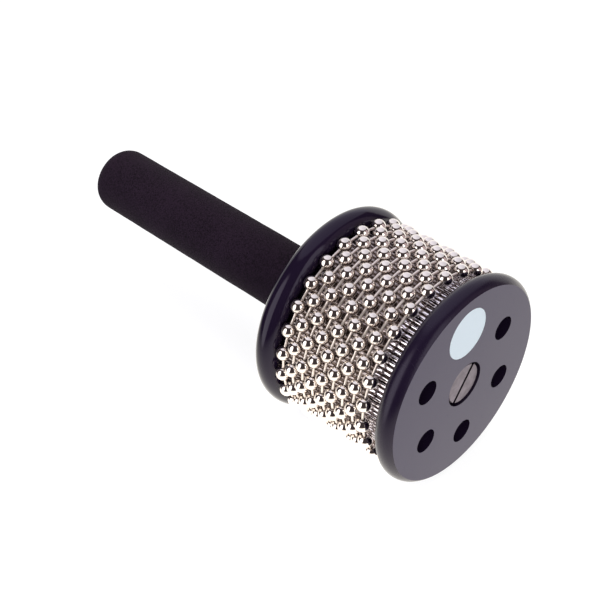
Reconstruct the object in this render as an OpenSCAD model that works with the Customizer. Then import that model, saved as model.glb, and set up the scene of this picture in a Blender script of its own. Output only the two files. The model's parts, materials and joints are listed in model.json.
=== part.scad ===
// Cabasa: a hand percussion instrument. Nine loops of steel ball chain lie round a ribbed
// steel sheet on a short drum between two plastic discs, on a foam-covered handle.
// The drum lies on its two rims. +X runs out of the front disc, the handle points to -X and +Z is up.
// The origin is under the middle of the whole length, on the surface that the rims rest on.

/* [Discs] */
// Diameter of both end discs
disc_d = 95; // [94:0.5:110]
// Thickness of a disc at its rim
disc_t = 10; // [9.9:0.1:12]
// Radius of the rounded rim edges
disc_edge_r = 5.2; // [3:0.1:5.2]
// Depth that is faced off the outer side, which leaves a crisp line between flat face and rim
facing = 0.8; // [0.7:0.1:1.4]
// Free width between the two discs
disc_gap = 54.8; // [52:0.2:70]
// Width of the flat land inside the rounded edge, on the inner side
land_w = 1; // [0.6:0.1:1.6]
// Depth of the inner face below that land
land_step = 0.8; // [0.4:0.1:1.2]

/* [Sound holes and badge] */
// Diameter of a sound hole
hole_d = 10.9; // [8:0.1:11.6]
// Diameter of the circle that the sound holes lie on
hole_circle_d = 56.2; // [52:0.2:57]
// Equal places on that circle; the badge takes one of them
hole_places = 6; // [5:1:6]
// Diameter of the blank badge
badge_d = 22.8; // [18:0.2:24]
// Thickness of the badge
badge_t = 0.3; // [0.2:0.1:0.6]
// Distance of the badge's middle from the drum axis
badge_reach = 28.4; // [27:0.1:31.5]
// Direction of the badge round the axis, from +Y towards +Z
badge_angle = 93; // [0:0.1:360]

/* [Drum] */
// Wall of the inner drum shell
shell_wall = 2.5; // [2:0.1:4]
// Thickness of the steel sheet at the foot of its ribs
sheet_t = 0.55; // [0.4:0.05:0.8]
// Height of a rib
rib_h = 0.6; // [0.4:0.1:1]
// Ribs round the sheet
rib_count = 102; // [80:1:110]
// Wall of the rings on the discs that centre the shell
spigot_wall = 1.3; // [1:0.1:2]
// Reach of those rings into the shell
spigot_h = 3; // [2:0.5:5]

/* [Bead loops] */
// Diameter of a bead
bead_d = 6.4; // [5.6:0.1:6.6]
// Wall of a hollow bead
bead_wall = 0.45; // [0.35:0.05:0.6]
// Beads in a loop
beads_per_loop = 25; // [23:1:26]
// Distance from loop to loop along the drum
loop_pitch = 5.45; // [5:0.05:5.8]
// Depth of the beads below the rims of the discs
bead_inset = 1.2; // [0.6:0.1:2]
// Running gap between the ribs and the beads
loop_play = 0.6; // [0.4:0.1:1]
// Gap between the last loop and the back disc
last_gap = 0.5; // [0.3:0.1:2]
// Diameter of a link bar
link_d = 1.3; // [1:0.1:1.5]
// Diameter of the ball on each end of a link bar
link_head_d = 2; // [1.8:0.1:2.2]
// Turn of the first loop round the axis
loop_phase = 12; // [0:0.1:14]

/* [Handle] */
// Outer diameter of the foam grip
grip_d = 31; // [26:0.5:36]
// Length of the foam grip
grip_len = 141.5; // [100:0.5:160]
// Radius of the grip's rounded end
grip_end_r = 7; // [4:0.5:9]
// Thickness of the foam over the end of the core
grip_cap = 8; // [7.5:0.5:12]
// Diameter of the wooden core
core_d = 20; // [18:0.5:22]
// Depth of the core's socket in the back disc
socket_depth = 5; // [3:0.5:5.5]

/* [Clamp screw] */
// Diameter of the screw's shank
screw_d = 8; // [6:0.5:9]
// Diameter of its flat head
head_d = 19.2; // [17:0.1:22]
// Thickness of the head
head_t = 2.6; // [2:0.1:3.2]
// Width of the bevel round the head
head_bevel = 0.6; // [0.2:0.1:0.8]
// Depth of the head below the front face
head_sink = 0.7; // [0.5:0.1:1.6]
// Width of the driver slot
slot_w = 1.6; // [1:0.1:2.6]
// Depth of the driver slot
slot_depth = 1.6; // [0.9:0.1:1.8]
// Direction of the slot round the axis, from +Y towards +Z
slot_angle = 53; // [0:1:180]
// Diameter of the threaded insert in the core
insert_d = 12; // [11:0.5:14]
// Length of the threaded insert
insert_len = 20; // [14:1:26]
// Diameter of the hubs on the discs' inner sides
hub_d = 24; // [20:0.5:30]
// Height of those hubs
hub_h = 4; // [2:0.5:6]
// Wall of the spacer tube between the hubs
spacer_wall = 2.6; // [1.5:0.1:4]

/* [Hidden] */
// Loops of beads on the drum
loop_count = 9;
// Gap of parts that slide together
slip_gap = 0.1;
// Gap between the thread flanks of screw and insert
thread_gap = 0.05;
// Gap round the shank where it passes through a disc or the spacer
shank_gap = 0.4;
// Gap round the screw head in its recess
head_gap = 0.7;
// Gap between the sheet and the shell
sheet_gap = 0.05;
// Gap round a link bar in a bead's wall
link_gap = 0.15;
// Gap between a link's ball end and the inside of its bead
link_play = 0.15;
// Play of the badge in its seat, at its edge and under the face
badge_gap = 0.1;
badge_sink = 0.05;
// Free depth of the core's bore past the insert
bore_spare = 6;
// How far the screw reaches past the insert
screw_spare = 2;
// Overrun of a cut past the face that it opens
cut = 1;

// Stations along the axis, counted from the front face and negative towards the handle
disc_r = disc_d / 2;
front_inner = -disc_t + land_step;
back_land = -disc_t - disc_gap;
back_inner = back_land - land_step;
back_face = back_land - disc_t;
grip_end = back_face - grip_len;
total_len = -grip_end;
head_top = -head_sink;
head_under = head_top - head_t;
spacer_front = front_inner - hub_h;
spacer_back = back_inner + hub_h;
socket_floor = back_face + socket_depth;
insert_end = socket_floor - insert_len;
core_end = grip_end + grip_cap;
screw_end = insert_end - screw_spare;

// Radii that follow from the rims inwards
bead_r = bead_d / 2;
loop_r = disc_r - bead_inset - bead_r;
rib_crest_r = loop_r - bead_r - loop_play;
rib_foot_r = rib_crest_r - rib_h;
sheet_in_r = rib_foot_r - sheet_t;
shell_r = sheet_in_r - sheet_gap;
shell_in_r = shell_r - shell_wall;
spigot_r = shell_in_r - slip_gap;
land_in_r = disc_r - disc_edge_r - land_w;
screw_r = screw_d / 2;
shank_hole_r = screw_r + shank_gap;
spacer_r = shank_hole_r + spacer_wall;
head_recess_r = head_d / 2 + head_gap;
badge_seat_r = badge_d / 2 + badge_gap;
badge_seat_depth = badge_t + badge_sink;
core_hole_r = core_d / 2 + slip_gap;
insert_hole_r = insert_d / 2 + thread_gap;

// One loop: the turn from bead to bead, and the straight line between two bead middles
bead_turn = 360 / beads_per_loop;
bead_chord = 2 * loop_r * sin(bead_turn / 2);
link_head_r = link_head_d / 2;
link_head_reach = bead_r - bead_wall - link_play - link_head_r;
last_loop = back_land + last_gap + bead_r;

// Where a rib starts, tops out, leaves its crest and ends, as shares of one rib's turn
rib_turn_shares = [0, 0.16, 0.64, 0.8];
rib_height_shares = [0, 1, 1, 0];

$fn = 96;

// Turns a shape drawn round +Z onto the drum axis, with its zero at the front face
module on_axis(station = 0) {
    translate([total_len / 2 + station, 0, disc_r])
        rotate([90, 0, 90])
            children();
}

// A round bar between two stations
module bar(from, to, r) {
    translate([0, 0, to])
        cylinder(r = r, h = from - to);
}

// A tube between two stations
module tube(from, to, r, r_in) {
    difference() {
        bar(from, to, r);
        bar(from + cut, to - cut, r_in);
    }
}

// A disc blank with both rim edges rounded, between two stations
module round_blank(from, to, r, edge_r) {
    bar(from, to, r - edge_r);
    bar(from - edge_r, to + edge_r, r);
    for (station = [from - edge_r, to + edge_r])
        translate([0, 0, station])
            rotate_extrude()
                translate([r - edge_r, 0])
                    circle(r = edge_r, $fn = 48);
}

// The round blank of the foam grip: square where it meets the disc, rounded at its free end
module grip_blank() {
    bar(back_face, grip_end + grip_end_r, grip_d / 2);
    bar(back_face, grip_end, grip_d / 2 - grip_end_r);
    translate([0, 0, grip_end + grip_end_r])
        rotate_extrude()
            translate([grip_d / 2 - grip_end_r, 0])
                intersection() {
                    circle(r = grip_end_r, $fn = 48);
                    translate([0, -grip_end_r])
                        square(grip_end_r);
                }
}

module foam_grip() {
    color([0.09, 0.085, 0.09])
        on_axis()
            difference() {
                grip_blank();
                bar(back_face + cut, core_end - slip_gap, core_hole_r);
            }
}

module handle_core() {
    color([0.72, 0.56, 0.38])
        on_axis()
            difference() {
                bar(socket_floor, core_end, core_d / 2);
                bar(socket_floor + cut, insert_end, insert_hole_r);
                bar(socket_floor + cut, insert_end - bore_spare, shank_hole_r);
            }
}

module threaded_insert() {
    color([0.78, 0.62, 0.3])
        on_axis()
            tube(socket_floor, insert_end, insert_d / 2, screw_r + thread_gap);
}

module back_disc() {
    color([0.13, 0.12, 0.17])
        on_axis()
            difference() {
                union() {
                    difference() {
                        round_blank(back_land, back_face - facing, disc_r, disc_edge_r);
                        bar(back_face, back_face - facing - cut, disc_r + cut);
                        bar(back_land + cut, back_inner, land_in_r);
                    }
                    tube(back_inner + spigot_h, back_inner - land_step, spigot_r, spigot_r - spigot_wall);
                    bar(spacer_back, back_inner - land_step, hub_d / 2);
                }
                bar(spacer_back + cut, back_face - cut, shank_hole_r);
                bar(socket_floor, back_face - cut, core_hole_r);
            }
}

module front_disc() {
    color([0.16, 0.15, 0.19])
        on_axis()
            difference() {
                union() {
                    difference() {
                        round_blank(facing, -disc_t, disc_r, disc_edge_r);
                        bar(facing + cut, 0, disc_r + cut);
                        bar(front_inner, -disc_t - cut, land_in_r);
                    }
                    tube(front_inner + land_step, front_inner - spigot_h, spigot_r, spigot_r - spigot_wall);
                    bar(front_inner + land_step, spacer_front, hub_d / 2);
                }
                bar(cut, spacer_front - cut, shank_hole_r);
                bar(cut, head_under, head_recess_r);
                rotate(badge_angle)
                    translate([badge_reach, 0, 0])
                        bar(cut, -badge_seat_depth, badge_seat_r);
                for (place = [1:hole_places - 1])
                    rotate(badge_angle + place * 360 / hole_places)
                        translate([hole_circle_d / 2, 0, 0])
                            bar(cut, front_inner - cut, hole_d / 2);
            }
}

module blank_badge() {
    color([0.86, 0.9, 0.92])
        on_axis()
            rotate(badge_angle)
                translate([badge_reach, 0, 0])
                    bar(-badge_sink, -badge_seat_depth, badge_d / 2);
}

module drum_shell() {
    color([0.2, 0.2, 0.22])
        on_axis()
            tube(front_inner, back_inner, shell_r, shell_in_r);
}

// Outline of the ribbed sheet: flat-topped ribs side by side round the drum
function rib_point(rib, i) =
    let (turn = (rib + rib_turn_shares[i]) * 360 / rib_count)
    let (r = rib_foot_r + rib_height_shares[i] * rib_h)
    [r * cos(turn), r * sin(turn)];

module ribbed_sheet() {
    color([0.75, 0.74, 0.73])
        on_axis(-disc_t - disc_gap)
            difference() {
                linear_extrude(height = disc_gap)
                    polygon([
                        for (rib = [0:rib_count - 1], i = [0:len(rib_turn_shares) - 1])
                            rib_point(rib, i)
                    ]);
                translate([0, 0, -cut])
                    cylinder(r = sheet_in_r, h = disc_gap + 2 * cut, $fn = 360);
            }
}

module spacer_tube() {
    color([0.7, 0.71, 0.72])
        on_axis()
            tube(spacer_front, spacer_back, spacer_r, shank_hole_r);
}

module clamp_screw() {
    color([0.5, 0.47, 0.45])
        on_axis()
            difference() {
                union() {
                    translate([0, 0, head_top - head_bevel])
                        cylinder(r1 = head_d / 2, r2 = head_d / 2 - head_bevel, h = head_bevel);
                    bar(head_top - head_bevel, head_under, head_d / 2);
                    bar(head_top - slot_depth, screw_end, screw_r);
                }
                rotate(slot_angle)
                    translate([-head_d / 2 - cut, -slot_w / 2, head_top - slot_depth])
                        cube([head_d + 2 * cut, slot_w, slot_depth + cut]);
            }
}

// Station and turn of loop k, counted from the front; every second loop is turned by half a bead
function loop_station(k) = last_loop + (loop_count - k) * loop_pitch;
function loop_turn(k) = loop_phase + (k % 2 == 0 ? bead_turn / 2 : 0);

// Puts a shape at each bead of loop k
module at_beads(k) {
    on_axis(loop_station(k))
        for (n = [0:beads_per_loop - 1])
            rotate(loop_turn(k) + n * bead_turn)
                translate([loop_r, 0, 0])
                    children();
}

// A hollow bead with the two holes that its links pass through
module bead() {
    difference() {
        sphere(r = bead_r, $fn = 48);
        sphere(r = bead_r - bead_wall, $fn = 48);
        for (side = [-1, 1])
            rotate(side * bead_turn / 2)
                rotate([-90 * side, 0, 0])
                    cylinder(r = link_d / 2 + link_gap, h = bead_r + cut, $fn = 24);
    }
}

// A link: a bar from inside one bead to inside the next, with a ball on each end
module link() {
    rotate(bead_turn / 2)
        rotate([-90, 0, 0]) {
            translate([0, 0, link_head_reach])
                cylinder(r = link_d / 2, h = bead_chord - 2 * link_head_reach, $fn = 24);
            for (reach = [link_head_reach, bead_chord - link_head_reach])
                translate([0, 0, reach])
                    sphere(r = link_head_r, $fn = 24);
        }
}

module loop_beads(k) {
    color([0.82, 0.8, 0.78])
        at_beads(k) bead();
}

module loop_links(k) {
    color([0.66, 0.63, 0.6])
        at_beads(k) link();
}

foam_grip();
handle_core();
threaded_insert();
back_disc();
front_disc();
blank_badge();
drum_shell();
ribbed_sheet();
spacer_tube();
clamp_screw();
for (k = [1:loop_count]) {
    loop_beads(k);
    loop_links(k);
}
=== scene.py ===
import json
import math

import bmesh
import bpy
from mathutils import Matrix, Vector, noise


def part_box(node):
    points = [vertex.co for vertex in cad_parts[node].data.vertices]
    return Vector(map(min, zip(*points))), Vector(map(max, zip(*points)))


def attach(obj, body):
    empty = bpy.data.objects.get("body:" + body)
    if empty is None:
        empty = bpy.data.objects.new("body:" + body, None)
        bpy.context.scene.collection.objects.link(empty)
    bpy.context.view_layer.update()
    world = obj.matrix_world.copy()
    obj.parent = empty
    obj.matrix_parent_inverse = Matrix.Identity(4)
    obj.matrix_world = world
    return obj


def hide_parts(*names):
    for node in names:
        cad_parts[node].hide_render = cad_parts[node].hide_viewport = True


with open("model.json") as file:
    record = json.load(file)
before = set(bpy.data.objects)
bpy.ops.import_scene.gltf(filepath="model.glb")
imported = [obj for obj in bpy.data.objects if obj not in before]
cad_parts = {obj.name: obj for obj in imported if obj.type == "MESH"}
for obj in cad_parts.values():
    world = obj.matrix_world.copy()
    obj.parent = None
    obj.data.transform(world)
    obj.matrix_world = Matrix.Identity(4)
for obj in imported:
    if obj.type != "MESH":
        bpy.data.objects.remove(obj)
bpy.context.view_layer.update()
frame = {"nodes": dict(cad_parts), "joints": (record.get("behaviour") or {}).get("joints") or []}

bl_info = {
    "name": "Cabasa",
    "version": (1, 0, 0),
    "blender": (4, 5, 0),
    "location": "View3D > Sidebar > Cabasa",
    "description": "Dresses the cabasa's frame: foam grip, bead loops, ribbed sheet, discs and studio",
    "category": "Add Mesh",
}

# Places that the frame gives: the drum axis lies along X at this height
LOOPS = [joint for joint in frame["joints"] if joint["name"].startswith("loop_")]
AXIS_Z = LOOPS[0]["pos_m"][2]
FRONT_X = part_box("front_disc")[1].x
GRIP_LOW, GRIP_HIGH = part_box("foam_grip")
SHEET_LOW, SHEET_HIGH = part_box("ribbed_sheet")
BEAD_LOW, BEAD_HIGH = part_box(LOOPS[0]["child"] + "_beads")
MILLIMETRE = 0.001
FULL_TURN = 2 * math.pi

# Depth of the front that was turned flat, depth of the disc that hands rub, and how near points
# are merged
FACED_DEPTH = 0.02 * MILLIMETRE
HANDLED_DEPTH = 20 * MILLIMETRE
MERGE_DISTANCE = 0.0001 * MILLIMETRE

# Linear colours of the dust on the discs, of the painted shade in creases and of the painted brown
# shade under the chains, how much of the steel that shade covers, and the roughness added there
DUST = (0.10, 0.10, 0.11)
CREASE_SHADE = (0.06, 0.04, 0.035)
CHAIN_SHADE = (0.29, 0.22, 0.185)
CHAIN_SHADE_COVER = 0.72
UNDER_CHAIN_ROUGHNESS = 0.17


class GripSettings(bpy.types.PropertyGroup):
    """Sizes and colour of the foam grip."""

    end_radius: bpy.props.FloatProperty(
        name="End radius", description="Radius of the grip's rounded free end",
        default=7.0 * MILLIMETRE, min=0.001, unit="LENGTH")
    cell_size: bpy.props.FloatProperty(
        name="Cell size", description="Width of one cell of the foam's open skin",
        default=0.45 * MILLIMETRE, min=0.0001, unit="LENGTH")
    waviness: bpy.props.FloatProperty(
        name="Waviness", description="How far the soft skin wanders from a true cylinder",
        default=0.12 * MILLIMETRE, min=0.0, unit="LENGTH")
    colour: bpy.props.FloatVectorProperty(
        name="Foam", description="Colour of the foam", subtype="COLOR", size=3,
        default=(0.0095, 0.0052, 0.0095), min=0.0, max=1.0)


class BeadSettings(bpy.types.PropertyGroup):
    """Sizes and colours of the bead loops."""

    beads: bpy.props.IntProperty(
        name="Beads", description="Beads in one loop", default=25, min=3)
    first_turn: bpy.props.FloatProperty(
        name="First turn", description="Turn of the first loop from +Y towards +Z",
        default=math.radians(12), subtype="ANGLE")
    hole_radius: bpy.props.FloatProperty(
        name="Hole radius", description="Radius of the hole that a link passes through",
        default=0.80 * MILLIMETRE, min=0.0001, unit="LENGTH")
    wall: bpy.props.FloatProperty(
        name="Wall", description="Wall of a hollow bead",
        default=0.45 * MILLIMETRE, min=0.0001, unit="LENGTH")
    link_radius: bpy.props.FloatProperty(
        name="Link radius", description="Radius of a link's bar",
        default=0.65 * MILLIMETRE, min=0.0001, unit="LENGTH")
    knob_radius: bpy.props.FloatProperty(
        name="Knob radius", description="Radius of the ball on each end of a link",
        default=1.0 * MILLIMETRE, min=0.0001, unit="LENGTH")
    knob_reach: bpy.props.FloatProperty(
        name="Knob reach", description="Distance of a link's ball end from the middle of its bead",
        default=1.6 * MILLIMETRE, min=0.0001, unit="LENGTH")
    bead_colour: bpy.props.FloatVectorProperty(
        name="Bead steel", description="Colour of the polished beads", subtype="COLOR", size=3,
        default=(0.90, 0.835, 0.785), min=0.0, max=1.0)
    link_colour: bpy.props.FloatVectorProperty(
        name="Link steel", description="Colour of the links", subtype="COLOR", size=3,
        default=(0.94, 0.85, 0.79), min=0.0, max=1.0)


class SheetSettings(bpy.types.PropertyGroup):
    """Sizes and colour of the ribbed steel sheet."""

    ribs: bpy.props.IntProperty(
        name="Ribs", description="Ribs round the sheet", default=102, min=3)
    rib_height: bpy.props.FloatProperty(
        name="Rib height", description="Height of a rib over the sheet",
        default=0.60 * MILLIMETRE, min=0.0001, unit="LENGTH")
    thickness: bpy.props.FloatProperty(
        name="Thickness", description="Thickness of the sheet between its ribs",
        default=0.55 * MILLIMETRE, min=0.0001, unit="LENGTH")
    colour: bpy.props.FloatVectorProperty(
        name="Sheet steel", description="Colour of the ribbed sheet", subtype="COLOR", size=3,
        default=(0.88, 0.84, 0.90), min=0.0, max=1.0)


class DiscSettings(bpy.types.PropertyGroup):
    """Colours of the discs and of what is set in them."""

    plastic: bpy.props.FloatVectorProperty(
        name="Plastic", description="Colour of the moulded discs", subtype="COLOR", size=3,
        default=(0.0092, 0.0052, 0.0148), min=0.0, max=1.0)
    # Colour of the turned front face: a paler, lit copy of the plastic, painted light
    faced_lit: bpy.props.FloatVectorProperty(
        name="Faced plastic", description="Colour of the front disc where it was turned flat",
        subtype="COLOR", size=3, default=(0.030, 0.023, 0.058), min=0.0, max=1.0)
    badge: bpy.props.FloatVectorProperty(
        name="Badge", description="Colour of the blank badge", subtype="COLOR", size=3,
        default=(0.705, 0.81, 0.90), min=0.0, max=1.0)
    screw: bpy.props.FloatVectorProperty(
        name="Screw", description="Colour of the clamp screw", subtype="COLOR", size=3,
        default=(0.170, 0.145, 0.178), min=0.0, max=1.0)


class StageSettings(bpy.types.PropertyGroup):
    """Camera and studio."""

    azimuth: bpy.props.FloatProperty(
        name="Azimuth", description="Direction of the camera, 0 looks along +Y",
        default=math.radians(43.277), subtype="ANGLE")
    elevation: bpy.props.FloatProperty(
        name="Elevation", description="Height of the camera over the horizon",
        default=math.radians(40.216), subtype="ANGLE")
    face_depth: bpy.props.FloatProperty(
        name="Depth", description="Distance of the front face's middle from the camera, along its view",
        default=0.54450, unit="LENGTH")
    face_right: bpy.props.FloatProperty(
        name="Right", description="Distance of that point right of the line of sight",
        default=0.06698, unit="LENGTH")
    face_down: bpy.props.FloatProperty(
        name="Down", description="Distance of that point below the line of sight",
        default=0.03429, unit="LENGTH")
    lens: bpy.props.FloatProperty(
        name="Lens", description="Focal length on a 36 mm wide sensor", default=80.312, min=10.0)


class Value:
    """A socket of a node tree. Arithmetic on it adds Math nodes."""

    def __init__(self, finish, socket):
        self.finish = finish
        self.socket = socket

    def maths(self, operation, *values):
        return self.finish.node("ShaderNodeMath", {"operation": operation}, dict(enumerate(values)))

    def __add__(self, other):
        return self.maths("ADD", self, other)

    __radd__ = __add__

    def __sub__(self, other):
        return self.maths("SUBTRACT", self, other)

    def __rsub__(self, other):
        return self.maths("SUBTRACT", other, self)

    def __mul__(self, other):
        return self.maths("MULTIPLY", self, other)

    __rmul__ = __mul__

    def __truediv__(self, other):
        return self.maths("DIVIDE", self, other)

    def __abs__(self):
        return self.maths("ABSOLUTE", self)

    def greater(self, other):
        return self.maths("GREATER_THAN", self, other)

    def at_least(self, other):
        return self.maths("MAXIMUM", self, other)

    def ramp(self, low, high):
        """0 below low, 1 above high and a smooth step between them."""
        return self.finish.node(
            "ShaderNodeMapRange", {"interpolation_type": "SMOOTHSTEP"},
            {"Value": self, "From Min": low, "From Max": high})

    def dot(self, direction):
        return self.finish.node(
            "ShaderNodeVectorMath", {"operation": "DOT_PRODUCT"}, {0: self, 1: tuple(direction)}, "Value")

    def scaled(self, factors):
        return self.finish.node(
            "ShaderNodeVectorMath", {"operation": "MULTIPLY"}, {0: self, 1: tuple(factors)})

    def moved(self, amount):
        return self.finish.node(
            "ShaderNodeVectorMath", {"operation": "ADD"}, {0: self, 1: amount})

    def part(self, axis):
        return self.finish.node("ShaderNodeSeparateXYZ", {}, {0: self}, axis)


class Finish:
    """A node tree, and the one method that adds a node to it."""

    def __init__(self, owner):
        owner.use_nodes = True
        self.tree = owner.node_tree
        self.tree.nodes.clear()

    def node(self, kind, settings, values=None, output=0):
        node = self.tree.nodes.new(kind)
        for name, setting in settings.items():
            setattr(node, name, setting)
        for name, value in (values or {}).items():
            socket = node.inputs[name]
            if isinstance(value, Value):
                self.tree.links.new(value.socket, socket)
            elif socket.type == "RGBA":
                socket.default_value = (*value[:3], 1)
            else:
                socket.default_value = value
        return Value(self, node.outputs[output])

    def mix(self, factor, first, second):
        """Colour between first, where factor is 0, and second, where it is 1."""
        return self.node(
            "ShaderNodeMix", {"data_type": "RGBA"}, {0: factor, 6: first, 7: second}, 2)

    def ray(self, kind):
        """1 for rays of one kind: Camera, Glossy or Transmission."""
        return self.node("ShaderNodeLightPath", {}, {}, "Is " + kind + " Ray")

    def place(self, output="Object"):
        return self.node("ShaderNodeTexCoord", {}, {}, output)

    def grain(self, where, size, detail=2.0, roughness=0.5):
        """Noise from 0 to 1, with features about size wide."""
        return self.node(
            "ShaderNodeTexNoise", {},
            {"Vector": where, "Scale": 1 / size, "Detail": detail, "Roughness": roughness})

    def cells(self, where, size, output="Distance"):
        """Cells about size wide: the distance from the middle of each, or a colour for each."""
        return self.node("ShaderNodeTexVoronoi", {}, {"Vector": where, "Scale": 1 / size}, output)

    def bump(self, height, distance, strength):
        return self.node(
            "ShaderNodeBump", {}, {"Height": height, "Distance": distance, "Strength": strength})

    def surface(self, **values):
        """A principled surface from its sockets' names, written with _ for a space."""
        self.output(self.node(
            "ShaderNodeBsdfPrincipled", {},
            {name.replace("_", " "): value for name, value in values.items()}))

    def output(self, shader, kind="ShaderNodeOutputMaterial"):
        end = self.tree.nodes.new(kind)
        self.tree.links.new(shader.socket, end.inputs["Surface"])


def new_finish(name):
    """A fresh material and the tree that it is drawn with."""
    material = bpy.data.materials.new(name)
    return material, Finish(material)


def shaded(colour, share):
    """A colour made darker or paler by one factor."""
    return tuple(share * part for part in colour)


def dress(thing, material):
    """Gives the whole of an object one material."""
    thing.data.materials.clear()
    thing.data.materials.append(material)


def foam_finish(settings):
    """Fine open-celled foam: dark, without gloss, a little paler where its skin is scuffed."""
    material, f = new_finish("grip_foam")
    where = f.place()
    cells = f.cells(where, settings.cell_size)
    patches = f.grain(where, 14 * MILLIMETRE, detail=4.0)
    specks = f.grain(where, 0.9 * MILLIMETRE, detail=3.0)
    tone = (0.35 * cells + 0.60 * specks + 0.25 * patches).ramp(0.36, 0.74)
    f.surface(
        Base_Color=f.mix(tone, shaded(settings.colour, 0.45), shaded(settings.colour, 2.1)),
        Roughness=0.86 + 0.1 * specks,
        Specular_IOR_Level=0.10,
        Sheen_Weight=0.03,
        Sheen_Roughness=0.5,
        Normal=f.bump(cells + 0.6 * specks, 0.12 * MILLIMETRE, 0.7))
    return material


def from_axis(f):
    """Distance of a point from the drum axis."""
    flat = f.place().scaled((0, 1, 1)).moved((0, 0, -AXIS_Z))
    return f.node("ShaderNodeVectorMath", {"operation": "LENGTH"}, {0: flat}, "Value")


def disc_finish(settings):
    """Black plastic with a violet cast. The moulded skin is glossy, and rubbed duller on the front
    disc, which hands touch. The front is turned flat, with the faint rings of the tool, and gets a
    paler, lit copy of the plastic there: painted light. A few rubs and dust specks lie on both discs."""
    material, f = new_finish("disc_plastic")
    where = f.place()
    faced_lit = where.part(0).greater(FRONT_X - FACED_DEPTH)
    handled = where.part(0).greater(FRONT_X - HANDLED_DEPTH)
    mould = f.grain(where, 0.25 * MILLIMETRE, detail=2.0)
    cloud = f.grain(where, 22 * MILLIMETRE, detail=3.0)
    reach = from_axis(f)
    rings = f.grain(where.scaled((0, 0, 0)).moved(reach), 0.5 * MILLIMETRE, detail=2.0)
    scratches = f.grain(where.scaled((1.0, 6.0, 0.7)), 5 * MILLIMETRE, detail=5.0, roughness=0.7)
    rubs = scratches.ramp(0.60, 0.74)
    apart = 2.6 * MILLIMETRE
    dust = 1 - f.cells(where, apart).ramp(0.02, 0.055)
    rare = f.cells(where, apart, output="Color").part(0).greater(0.93)
    skin = f.mix(cloud, settings.plastic, shaded(settings.plastic, 1.3))
    # The turned face gets the paler lit colour, which is painted light; the tool rings on it are real
    flat = f.mix(rings, settings.faced_lit, shaded(settings.faced_lit, 1.15))
    gloss = 0.07 + 0.04 * cloud + 0.10 * rubs + 0.18 * handled
    f.surface(
        Base_Color=f.mix(dust * rare * 0.5, f.mix(faced_lit, skin, flat), DUST),
        Roughness=gloss + faced_lit * (0.05 + 0.04 * rings),
        Specular_IOR_Level=0.26,
        Specular_Tint=(0.88, 0.82, 1.0, 1.0),
        Normal=f.bump(mould + faced_lit * rings, 0.012 * MILLIMETRE, 0.35))
    return material


def steel_finish(name, colour, roughness, streaks=0.0, rim=0.0, crease=None, shade_veil=None):
    """Polished plated steel: faint smears in its gloss, which show most at a low angle, painted shade
    where creases lie, and under the chains painted brown shade and a duller gloss."""
    material, f = new_finish(name)
    where = f.place()
    smears = f.grain(where, 3.5 * MILLIMETRE, detail=4.0, roughness=0.6)
    fine = f.grain(where.scaled((1.0 + 6.0 * streaks, 1.0, 1.0)), 0.5 * MILLIMETRE, detail=2.0)
    tone = f.mix(smears.ramp(0.45, 0.75) * 0.5, colour, shaded(colour, 0.80))
    # Painted shade: the crease mask darkens the steel where shade falls
    if crease is not None:
        tone = f.mix(crease(f), tone, CREASE_SHADE)
    low_angle = f.node("ShaderNodeLayerWeight", {}, {"Blend": 0.5}, "Facing")
    rough = roughness + roughness * 0.9 * smears + rim * low_angle.ramp(0.38, 0.80)
    # Painted shade under the chains: darker and browner there, and rougher
    if shade_veil is not None:
        tone = f.mix(CHAIN_SHADE_COVER * shade_veil(f), tone, CHAIN_SHADE)
        rough = rough + UNDER_CHAIN_ROUGHNESS * shade_veil(f)
    f.surface(
        Base_Color=tone,
        Metallic=1.0,
        Roughness=rough,
        Normal=f.bump(fine, 0.010 * MILLIMETRE, 0.25))
    return material


def bead_crease(f):
    """Painted shade round a bead's two holes, where the links meet it; V of the bead's own map runs from
    hole to hole.
    """
    along = f.place("UV").part(1)
    return (abs(along - 0.5) * 2).ramp(0.86, 0.99) * 0.75


def badge_finish(settings):
    """Plain film with a fine tooth and a faint cloud."""
    material, f = new_finish("badge_film")
    where = f.place()
    tooth = f.grain(where, 0.3 * MILLIMETRE, detail=3.0)
    cloud = f.grain(where, 7 * MILLIMETRE)
    f.surface(
        Base_Color=f.mix(0.5 * cloud, settings.badge, shaded(settings.badge, 0.93)),
        Roughness=0.38 + 0.1 * tooth,
        Normal=f.bump(tooth, 0.01 * MILLIMETRE, 0.4))
    return material


def screw_finish(settings):
    """Dull steel with the fine lines of the lathe and darker stains."""
    material, f = new_finish("screw_steel")
    where = f.place()
    rings = f.grain(where.scaled((0.2, 5.0, 0.6)), 0.9 * MILLIMETRE, detail=4.0, roughness=0.7)
    stain = f.grain(where, 4 * MILLIMETRE, detail=5.0, roughness=0.65)
    f.surface(
        Base_Color=f.mix(stain.ramp(0.35, 0.7), settings.screw, shaded(settings.screw, 0.62)),
        Metallic=1.0,
        Roughness=0.36 + 0.18 * rings,
        Normal=f.bump(rings, 0.02 * MILLIMETRE, 0.5))
    return material


def plain_finish(name, colour, shade, size, roughness, metallic):
    """A hidden piece's finish: two tones in a grain of the given size."""
    material, f = new_finish(name)
    grain = f.grain(f.place(), size, detail=4.0)
    f.surface(
        Base_Color=f.mix(grain.ramp(0.3, 0.7), colour, shade),
        Metallic=metallic,
        Roughness=roughness + 0.1 * grain,
        Normal=f.bump(grain, 0.02 * MILLIMETRE, 0.4))
    return material


def wood_finish():
    """Pale hardwood with its growth rings drawn out along the rod."""
    material, f = new_finish("core_wood")
    where = f.place().scaled((0.06, 1.0, 1.0))
    rings = f.grain(where, 2.2 * MILLIMETRE, detail=5.0, roughness=0.6)
    pores = f.grain(where, 0.5 * MILLIMETRE, detail=2.0)
    f.surface(
        Base_Color=f.mix(rings.ramp(0.32, 0.68), (0.55, 0.36, 0.19), (0.33, 0.19, 0.09)),
        Roughness=0.62 + 0.15 * pores,
        Normal=f.bump(rings + pores, 0.03 * MILLIMETRE, 0.5))
    return material


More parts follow.
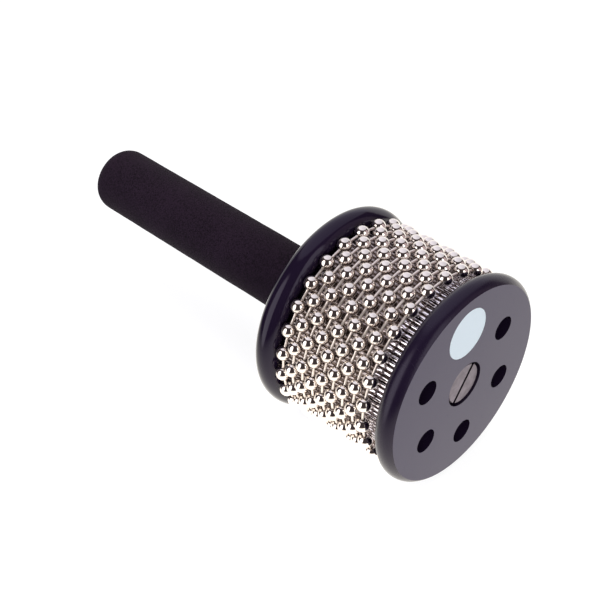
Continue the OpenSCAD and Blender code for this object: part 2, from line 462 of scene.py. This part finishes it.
class Builder:
    """Collects the points, faces and map of one piece, and makes the object."""

    def __init__(self):
        self.points = []
        self.faces = []
        self.maps = []

    def rings(self, rings, maps, place=Matrix.Identity(4)):
        """Joins closed rings of equal length, each a list of points. The two ends stay open. Gives
        the first point's number and the points in a ring."""
        count = len(rings[0])
        start = len(self.points)
        for ring in rings:
            self.points += [place @ Vector(p) for p in ring]
        for i in range(len(rings) - 1):
            for j in range(count):
                k = (j + 1) % count
                a, b = start + i * count, start + (i + 1) * count
                self.faces.append((a + j, a + k, b + k, b + j))
                low, high = j / count, (j + 1) / count
                self.maps += [(low, maps[i]), (high, maps[i]), (high, maps[i + 1]), (low, maps[i + 1])]
        return start, count

    def close(self, first, count, flip):
        """Fills the ring that starts at point first with a face."""
        ring = [first + j for j in range(count)]
        self.faces.append(tuple(reversed(ring)) if flip else tuple(ring))
        self.maps += [(0.5, 0.5)] * count

    def make(self, name, material):
        mesh = bpy.data.meshes.new(name)
        mesh.from_pydata(self.points, [], self.faces)
        layer = mesh.uv_layers.new(name="map")
        for loop, (u, v) in enumerate(self.maps):
            layer.data[loop].uv = (u, v)
        mesh.validate()
        mesh.shade_smooth()
        thing = bpy.data.objects.new(name, mesh)
        bpy.context.scene.collection.objects.link(thing)
        dress(thing, material)
        return thing


def circle(x, radius, count):
    """A ring of points round X at station x."""
    return [(x, radius * math.cos(FULL_TURN * j / count), radius * math.sin(FULL_TURN * j / count))
            for j in range(count)]


def bead_matrix(x, turn, radius):
    """Puts a bead's own frame on its loop: Y away from the drum axis, Z along the chain."""
    return (Matrix.Translation((x, 0, AXIS_Z)) @ Matrix.Rotation(turn, 4, "X")
            @ Matrix.Translation((0, radius, 0)))


class Loop:
    """Places of the beads of one loop, from its joint and its CAD node."""

    def __init__(self, index, settings):
        joint = LOOPS[index]
        self.body = joint["child"]
        self.x = joint["pos_m"][0]
        self.bead_radius = (BEAD_HIGH.x - BEAD_LOW.x) / 2
        points = frame["nodes"][self.body + "_beads"].data.vertices
        reach = max(math.hypot(p.co.y, p.co.z - AXIS_Z) for p in points)
        self.radius = reach - self.bead_radius
        self.step = FULL_TURN / settings.beads
        self.first = settings.first_turn + (self.step / 2 if index % 2 else 0)
        self.turns = [self.first + n * self.step for n in range(settings.beads)]


def bead_rings(radius, hole, half_step, count, steps):
    """Rings of a bead's skin from hole to hole. The chain bends in the bead, so the axis of the
    rings turns from one link's line to the other's."""
    start = math.asin(hole / radius)
    rings = []
    for i in range(steps + 1):
        polar = start + (math.pi - 2 * start) * i / steps
        lean = Matrix.Rotation(half_step * math.cos(polar), 3, "X")
        ring = []
        for j in range(count):
            round_it = FULL_TURN * j / count
            ring.append(lean @ Vector((
                radius * math.sin(polar) * math.cos(round_it),
                radius * math.sin(polar) * math.sin(round_it),
                radius * math.cos(polar))))
        rings.append(ring)
    return rings


class CABASA_OT_beads(bpy.types.Operator):
    """Make the hollow beads of each loop"""

    bl_idname = "cabasa.beads"
    bl_label = "Beads"

    segments = 28
    outer_steps = 16
    inner_steps = 5
    roughness = 0.045
    rim_roughness = 0.24

    def execute(self, context):
        settings = context.scene.cabasa_beads
        material = steel_finish(
            "bead_steel", tuple(settings.bead_colour), self.roughness, rim=self.rim_roughness,
            crease=bead_crease)
        for index in range(len(LOOPS)):
            loop = Loop(index, settings)
            builder = Builder()
            outer = bead_rings(
                loop.bead_radius, settings.hole_radius, loop.step / 2, self.segments, self.outer_steps)
            inner = bead_rings(
                loop.bead_radius - settings.wall, settings.hole_radius, loop.step / 2,
                self.segments, self.inner_steps)
            skin = outer + inner[::-1] + [outer[0]]
            heights = [i / self.outer_steps for i in range(self.outer_steps + 1)]
            heights += [1.0] * len(inner) + [0.0]
            for turn in loop.turns:
                builder.rings(skin, heights, bead_matrix(loop.x, turn, loop.radius))
            beads = builder.make(loop.body + "_polished_beads", material)
            merge_seams(beads)
            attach(beads, loop.body)
            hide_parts(loop.body + "_beads")
        return {"FINISHED"}


def merge_seams(thing):
    """Joins the points that the last ring of a closed skin repeats."""
    shape = bmesh.new()
    shape.from_mesh(thing.data)
    bmesh.ops.remove_doubles(shape, verts=shape.verts, dist=MERGE_DISTANCE)
    bmesh.ops.recalc_face_normals(shape, faces=shape.faces)
    shape.to_mesh(thing.data)
    shape.free()


class CABASA_OT_links(bpy.types.Operator):
    """Make the links between the beads of each loop"""

    bl_idname = "cabasa.links"
    bl_label = "Links"

    segments = 16
    knob_steps = 5
    waist_places = (0.42, 0.58)
    waist_share = 0.97
    tip_radius = 0.02 * MILLIMETRE
    roughness = 0.26

    def profile(self, settings, chord):
        """Stations and radii of one link, from inside one bead to inside the next."""
        bar, knob, reach = settings.link_radius, settings.knob_radius, settings.knob_reach
        neck = math.asin(bar / knob)
        first = []
        for i in range(self.knob_steps + 1):
            polar = math.pi - (math.pi - neck) * i / self.knob_steps
            first.append((reach + knob * math.cos(polar), knob * math.sin(polar)))
        last = [(chord - x, r) for x, r in reversed(first)]
        waist = self.waist_share * bar
        return first + [(place * chord, waist) for place in self.waist_places] + last

    def execute(self, context):
        settings = context.scene.cabasa_beads
        material = steel_finish("link_steel", tuple(settings.link_colour), self.roughness, streaks=1.0)
        for index in range(len(LOOPS)):
            loop = Loop(index, settings)
            chord = 2 * loop.radius * math.sin(loop.step / 2)
            profile = self.profile(settings, chord)
            builder = Builder()
            for turn in loop.turns:
                place = (bead_matrix(loop.x, turn, loop.radius) @ Matrix.Rotation(loop.step / 2, 4, "X")
                         @ Matrix.Rotation(-math.pi / 2, 4, "Y"))
                rings = [circle(x, max(r, self.tip_radius), self.segments) for x, r in profile]
                start, count = builder.rings(rings, [x / chord for x, _ in profile], place)
                builder.close(start, count, True)
                builder.close(start + (len(rings) - 1) * count, count, False)
            links = builder.make(loop.body + "_bright_links", material)
            merge_seams(links)
            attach(links, loop.body)
            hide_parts(loop.body + "_links")
        return {"FINISHED"}


class CABASA_OT_sheet(bpy.types.Operator):
    """Make the ribbed steel sheet with its rounded ribs"""

    bl_idname = "cabasa.sheet"
    bl_label = "Ribbed sheet"

    side_share = 0.11
    crest_share = 0.58
    side_steps = 5
    lengthwise_steps = 12
    roughness = 0.05
    sharp_angle = math.radians(50)

    # The painted shade in the valleys fades between these shares of a rib's height, and the painted shade
    # under the chains over this length
    shade_shares = (0.15, 0.7)
    shade_edge = 2.5 * MILLIMETRE

    def rib_shares(self):
        """Places along one rib and their heights: a rounded side up, the flat crest, a side down."""
        side = [(i / self.side_steps, 0.5 - 0.5 * math.cos(math.pi * i / self.side_steps))
                for i in range(self.side_steps + 1)]
        up = [(self.side_share * t, h) for t, h in side]
        middle = [(self.side_share + self.crest_share / 2, 1.0)]
        down = [(2 * self.side_share + self.crest_share - t, h) for t, h in reversed(up)]
        return up + middle + down

    def valley(self, f, foot, crest):
        """Painted shade in the valleys between the ribs and on the lower part of their sides."""
        return 1 - from_axis(f).ramp(*(foot + share * (crest - foot) for share in self.shade_shares))

    def under_chains(self, f):
        """1 where the chains run over the sheet, 0 on the strip next to the front disc."""
        first = LOOPS[0]["pos_m"][0]
        return 1 - f.place().part(0).ramp(first - self.shade_edge, first)

    def outline(self, settings, x, foot):
        """One ring of the sheet's outside, rib after rib."""
        ring = []
        for rib in range(settings.ribs):
            for share, height in self.rib_shares():
                radius = foot + settings.rib_height * height
                turn = FULL_TURN * (rib + share) / settings.ribs
                ring.append((x, radius * math.cos(turn), radius * math.sin(turn)))
        return ring

    def execute(self, context):
        settings = context.scene.cabasa_sheet
        crest = (SHEET_HIGH.z - SHEET_LOW.z) / 2
        foot = crest - settings.rib_height
        inside = foot - settings.thickness
        low, high = SHEET_LOW.x, SHEET_HIGH.x
        steps = self.lengthwise_steps
        stations = [low + (high - low) * i / steps for i in range(steps + 1)]
        rings = [self.outline(settings, x, foot) for x in stations]
        count = len(rings[0])
        rings += [circle(high, inside, count), circle(low, inside, count), rings[0]]
        heights = [(x - low) / (high - low) for x in stations] + [1.0, 0.0, 0.0]
        builder = Builder()
        builder.rings(rings, heights, Matrix.Translation((0, 0, AXIS_Z)))
        # The sheet gets painted shade in its valleys and painted brown shade under the chains
        material = steel_finish(
            "sheet_steel", tuple(settings.colour), self.roughness,
            crease=lambda f: self.valley(f, foot, crest), shade_veil=self.under_chains)
        sheet = builder.make("rounded_rib_sheet", material)
        merge_seams(sheet)
        sheet.data.set_sharp_from_angle(angle=self.sharp_angle)
        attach(sheet, "drum")
        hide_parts("ribbed_sheet")
        return {"FINISHED"}


class CABASA_OT_grip(bpy.types.Operator):
    """Make the foam grip with its soft skin and rounded end"""

    bl_idname = "cabasa.grip"
    bl_label = "Foam grip"

    segments = 128
    lengthwise_steps = 150
    corner_steps = 12
    face_steps = 10

    # Waves of the skin: how closely they stand in a metre, the fine ones' share and that of the whole
    coarse_waves, fine_waves = 90, 300
    fine_share = 0.5
    wave_share = 0.6

    def execute(self, context):
        settings = context.scene.cabasa_grip
        radius = (GRIP_HIGH.z - GRIP_LOW.z) / 2 - settings.waviness
        corner = settings.end_radius
        free_end = GRIP_LOW.x + settings.waviness
        seat = GRIP_HIGH.x
        profile = []
        for i in range(1, self.face_steps + 1):
            profile.append((free_end, (radius - corner) * i / self.face_steps))
        for i in range(1, self.corner_steps + 1):
            turn = math.pi / 2 * i / self.corner_steps
            profile.append((
                free_end + corner * (1 - math.cos(turn)),
                radius - corner + corner * math.sin(turn)))
        straight = free_end + corner
        for i in range(1, self.lengthwise_steps + 1):
            profile.append((straight + (seat - straight) * i / self.lengthwise_steps, radius))
        rings = []
        for x, r in profile:
            ring = []
            for point in circle(x, r, self.segments):
                at = Vector(point)
                wave = noise.noise(at * self.coarse_waves)
                wave += self.fine_share * noise.noise(at * self.fine_waves)
                out = Vector((0, at.y, at.z)) if x > straight else at - Vector((straight, 0, 0))
                ring.append(at + out.normalized() * wave * settings.waviness * self.wave_share)
            rings.append(ring)
        builder = Builder()
        start, count = builder.rings(
            rings, [i / len(rings) for i in range(len(rings))], Matrix.Translation((0, 0, AXIS_Z)))
        builder.close(start, count, True)
        builder.close(start + (len(rings) - 1) * count, count, False)
        grip = builder.make("soft_grip", foam_finish(settings))
        merge_seams(grip)
        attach(grip, "drum")
        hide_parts("foam_grip")
        return {"FINISHED"}


class CABASA_OT_discs(bpy.types.Operator):
    """Give the discs, badge and screw their finish"""

    bl_idname = "cabasa.discs"
    bl_label = "Discs, badge and screw"

    def execute(self, context):
        settings = context.scene.cabasa_discs
        plastic = disc_finish(settings)
        nodes = frame["nodes"]
        dress(nodes["front_disc"], plastic)
        dress(nodes["back_disc"], plastic)
        dress(nodes["blank_badge"], badge_finish(settings))
        dress(nodes["clamp_screw"], screw_finish(settings))
        return {"FINISHED"}


class CABASA_OT_inner(bpy.types.Operator):
    """Give the pieces inside the drum and the handle their finish"""

    bl_idname = "cabasa.inner"
    bl_label = "Inner pieces"

    # Material, two tones, grain, roughness and metallic part of each plain piece
    finishes = {
        "drum_shell": (
            "shell_plastic", (0.022, 0.022, 0.026), (0.032, 0.031, 0.036), 1.5 * MILLIMETRE, 0.6, 0.0),
        "spacer_tube": (
            "spacer_aluminium", (0.62, 0.63, 0.65), (0.50, 0.51, 0.53), 2.0 * MILLIMETRE, 0.3, 1.0),
        "threaded_insert": (
            "insert_brass", (0.70, 0.50, 0.20), (0.55, 0.38, 0.14), 1.0 * MILLIMETRE, 0.3, 1.0),
    }

    def execute(self, context):
        nodes = frame["nodes"]
        for node, finish in self.finishes.items():
            dress(nodes[node], plain_finish(*finish))
        dress(nodes["handle_core"], wood_finish())
        return {"FINISHED"}


class CABASA_OT_stage(bpy.types.Operator):
    """Set up the camera, the floor, the lamps and the world"""

    bl_idname = "cabasa.stage"
    bl_label = "Stage"

    floor_size = 8.0
    clip_start, clip_end = 0.05, 50.0

    # The lit part of the table that gloss shows: its middle, where it fades, colour and strength
    table_middle = (0.12, 0.10, 0)
    table_edge = (0.16, 0.40)
    table_colour = (1, 0.965, 0.90)
    table_glow = 1.7

    # Grey of the floor for the light it throws back, and its shade and glow where the camera sees it
    floor_grey = (0.40, 0.40, 0.40)
    paper_grey = (0.30, 0.30, 0.30)
    paper_glow = 0.84

    # Name, place, aim, size, power and colour of each lamp
    lamps = (
        ("top_lamp", (-0.15, 0.15, 0.95), (0, 0, 0.04), (0.9, 0.7), 4.5, (1, 1, 1)),
        ("front_lamp", (1.15, -0.55, 0.55), (0.05, 0, 0.05), (0.6, 0.6), 9.0, (1, 1, 1)),
        ("side_lamp", (-0.3, -1.0, 0.5), (0, 0, 0.04), (0.5, 0.5), 4.0, (0.70, 0.66, 1.0)),
    )

    # Panels of the room that gloss shows: turn to the right of the camera's direction, height over
    # the horizon, half width and half height in degrees, and softness of the edge
    top_panel = (-6, 122.5, 42, 47, 0.25)
    left_panel = (-64, 11, 22, 37, 0.40)
    right_panel = (46, 11, 18, 38, 0.25)
    haze_panel = (83, 9, 26, 34, 0.25)
    back_panel = (180, -7, 60, 36, 0.25)

    # Strengths of those panels and of the dark room, the top panel's fall towards the right, and the
    # light on dull surfaces
    left_glow, right_glow, haze_glow, back_glow, dark_glow = 2.5, 1.9, 0.5, 1.1, 0.05
    top_glow, top_fall = 0.96, 0.29
    room_light = 0.4

    # Tints of the dark room, the side panels and the top panel
    dark_tint = (1.0, 0.80, 0.84)
    side_tint = (1.0, 0.985, 0.97)
    top_tint = (0.91, 0.90, 1.0)

    def camera(self, settings):
        azimuth, elevation = settings.azimuth, settings.elevation
        back = Vector((
            math.sin(azimuth) * math.cos(elevation),
            -math.cos(azimuth) * math.cos(elevation),
            math.sin(elevation)))
        right = Vector((math.cos(azimuth), math.sin(azimuth), 0))
        up = back.cross(right)
        face = Vector((FRONT_X, 0, AXIS_Z))
        data = bpy.data.cameras.new("camera")
        data.lens = settings.lens
        data.sensor_width = 36.0
        data.clip_start = self.clip_start
        data.clip_end = self.clip_end
        camera = bpy.data.objects.new("camera", data)
        camera.location = (
            face + back * settings.face_depth - right * settings.face_right + up * settings.face_down)
        camera.rotation_euler = Matrix((right, up, back)).transposed().to_euler()
        bpy.context.scene.collection.objects.link(camera)
        bpy.context.scene.camera = camera

    def seen(self, f):
        """1 for what the camera sees, itself or in a reflection or through glass."""
        return f.ray("Camera").at_least(f.ray("Glossy")).at_least(f.ray("Transmission"))

    def floor(self):
        size = self.floor_size / 2
        mesh = bpy.data.meshes.new("floor")
        mesh.from_pydata([(-size, -size, 0), (size, -size, 0), (size, size, 0), (-size, size, 0)], [],
                         [(0, 1, 2, 3)])
        floor = bpy.data.objects.new("floor", mesh)
        bpy.context.scene.collection.objects.link(floor)
        material, f = new_finish("floor")
        away = f.place().moved(tuple(-part for part in self.table_middle))
        reach = f.node("ShaderNodeVectorMath", {"operation": "LENGTH"}, {0: away}, "Value")
        table = 1 - reach.ramp(*self.table_edge)
        diffuse = f.node("ShaderNodeBsdfDiffuse", {}, {"Color": self.floor_grey})
        shade = f.node("ShaderNodeBsdfDiffuse", {}, {"Color": self.paper_grey})
        white = f.node("ShaderNodeEmission", {}, {"Color": (1, 1, 1), "Strength": self.paper_glow})
        paper = f.node("ShaderNodeAddShader", {}, {0: shade, 1: white})
        glow = f.node("ShaderNodeEmission", {}, {"Color": self.table_colour, "Strength": self.table_glow})
        clear = f.node("ShaderNodeBsdfTransparent", {})
        mirrored = f.node("ShaderNodeMixShader", {}, {0: table, 1: clear, 2: glow})
        shown = f.node("ShaderNodeMixShader", {}, {0: f.ray("Camera"), 1: mirrored, 2: paper})
        f.output(f.node("ShaderNodeMixShader", {}, {0: self.seen(f), 1: diffuse, 2: shown}))
        dress(floor, material)

    def lamp(self, name, place, target, size, power, colour):
        data = bpy.data.lights.new(name, "AREA")
        data.shape = "RECTANGLE"
        data.size, data.size_y = size
        data.energy = power
        data.color = colour
        lamp = bpy.data.objects.new(name, data)
        lamp.location = place
        lamp.rotation_euler = (Vector(place) - Vector(target)).to_track_quat("Z", "Y").to_euler()
        lamp.visible_glossy = False
        bpy.context.scene.collection.objects.link(lamp)

    def towards(self, settings, side, height):
        """A direction turned to the right of the camera's own and above the horizon, in degrees."""
        turn = settings.azimuth + math.radians(side)
        rise = math.radians(height)
        return Vector((math.sin(turn) * math.cos(rise), -math.cos(turn) * math.cos(rise), math.sin(rise)))

    def panel(self, settings, direction, side, height, half_width, half_height, edge):
        """1 inside an oval panel, 0 outside, with a soft edge."""
        centre = self.towards(settings, side, height)
        across = Vector((0, 0, 1)).cross(centre).normalized()
        ahead = direction.dot(centre)
        least = 0.001

        def share(axis, half):
            return direction.dot(axis) / ahead.at_least(least) / math.tan(math.radians(half))

        x, y = share(across, half_width), share(centre.cross(across), half_height)
        reach = x * x + y * y
        return (1 - reach.ramp(1 - edge, 1 + edge)) * ahead.greater(least)

    def world(self, settings):
        """A white studio. Gloss shows the light overhead, one to each side, a haze further right, the
        pale wall behind and the dark room between."""
        world = bpy.data.worlds.new("studio")
        bpy.context.scene.world = world
        f = Finish(world)
        direction = f.place("Generated")
        top, left, right, haze, back = (
            self.panel(settings, direction, *panel) for panel in (
                self.top_panel, self.left_panel, self.right_panel, self.haze_panel, self.back_panel))
        lit = top.at_least(left).at_least(right).at_least(back)
        slope = self.top_glow - self.top_fall * direction.dot(self.towards(settings, 90, 0))
        glow = (slope * top).at_least(self.left_glow * left).at_least(self.right_glow * right)
        glow = glow.at_least(self.haze_glow * haze).at_least(self.back_glow * back)
        glow = glow.at_least(self.dark_glow)
        camera, glossy = f.ray("Camera"), f.ray("Glossy")
        strength = camera.at_least(glossy * glow).at_least((1 - camera) * (1 - glossy) * self.room_light)
        tint = f.mix(lit, self.dark_tint, f.mix(top, self.side_tint, self.top_tint))
        colour = f.mix(glossy, (1.0, 1.0, 1.0), tint)
        shader = f.node("ShaderNodeBackground", {}, {"Color": colour, "Strength": strength})
        f.output(shader, "ShaderNodeOutputWorld")

    def execute(self, context):
        settings = context.scene.cabasa_stage
        self.camera(settings)
        self.floor()
        for lamp in self.lamps:
            self.lamp(*lamp)
        self.world(settings)
        context.scene.view_settings.view_transform = "Standard"
        return {"FINISHED"}


class CABASA_PT_panel(bpy.types.Panel):
    """Lists the steps that dress the cabasa"""

    bl_idname = "CABASA_PT_panel"
    bl_label = "Cabasa"
    bl_space_type = "VIEW_3D"
    bl_region_type = "UI"
    bl_category = "Cabasa"

    def draw(self, context):
        column = self.layout.column()
        for operator in OPERATORS:
            column.operator(operator.bl_idname)


SETTINGS = {
    "cabasa_grip": GripSettings,
    "cabasa_beads": BeadSettings,
    "cabasa_sheet": SheetSettings,
    "cabasa_discs": DiscSettings,
    "cabasa_stage": StageSettings,
}
OPERATORS = (
    CABASA_OT_stage,
    CABASA_OT_discs,
    CABASA_OT_inner,
    CABASA_OT_grip,
    CABASA_OT_sheet,
    CABASA_OT_beads,
    CABASA_OT_links,
)


def register():
    for name, group in SETTINGS.items():
        bpy.utils.register_class(group)
        setattr(bpy.types.Scene, name, bpy.props.PointerProperty(type=group))
    for operator in OPERATORS:
        bpy.utils.register_class(operator)
    bpy.utils.register_class(CABASA_PT_panel)


def unregister():
    bpy.utils.unregister_class(CABASA_PT_panel)
    for operator in reversed(OPERATORS):
        bpy.utils.unregister_class(operator)
    for name, group in SETTINGS.items():
        delattr(bpy.types.Scene, name)
        bpy.utils.unregister_class(group)


def main():
    """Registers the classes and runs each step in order."""
    register()
    for operator in OPERATORS:
        group, name = operator.bl_idname.split(".")
        getattr(getattr(bpy.ops, group), name)()


if __name__ == "__main__":
    main()
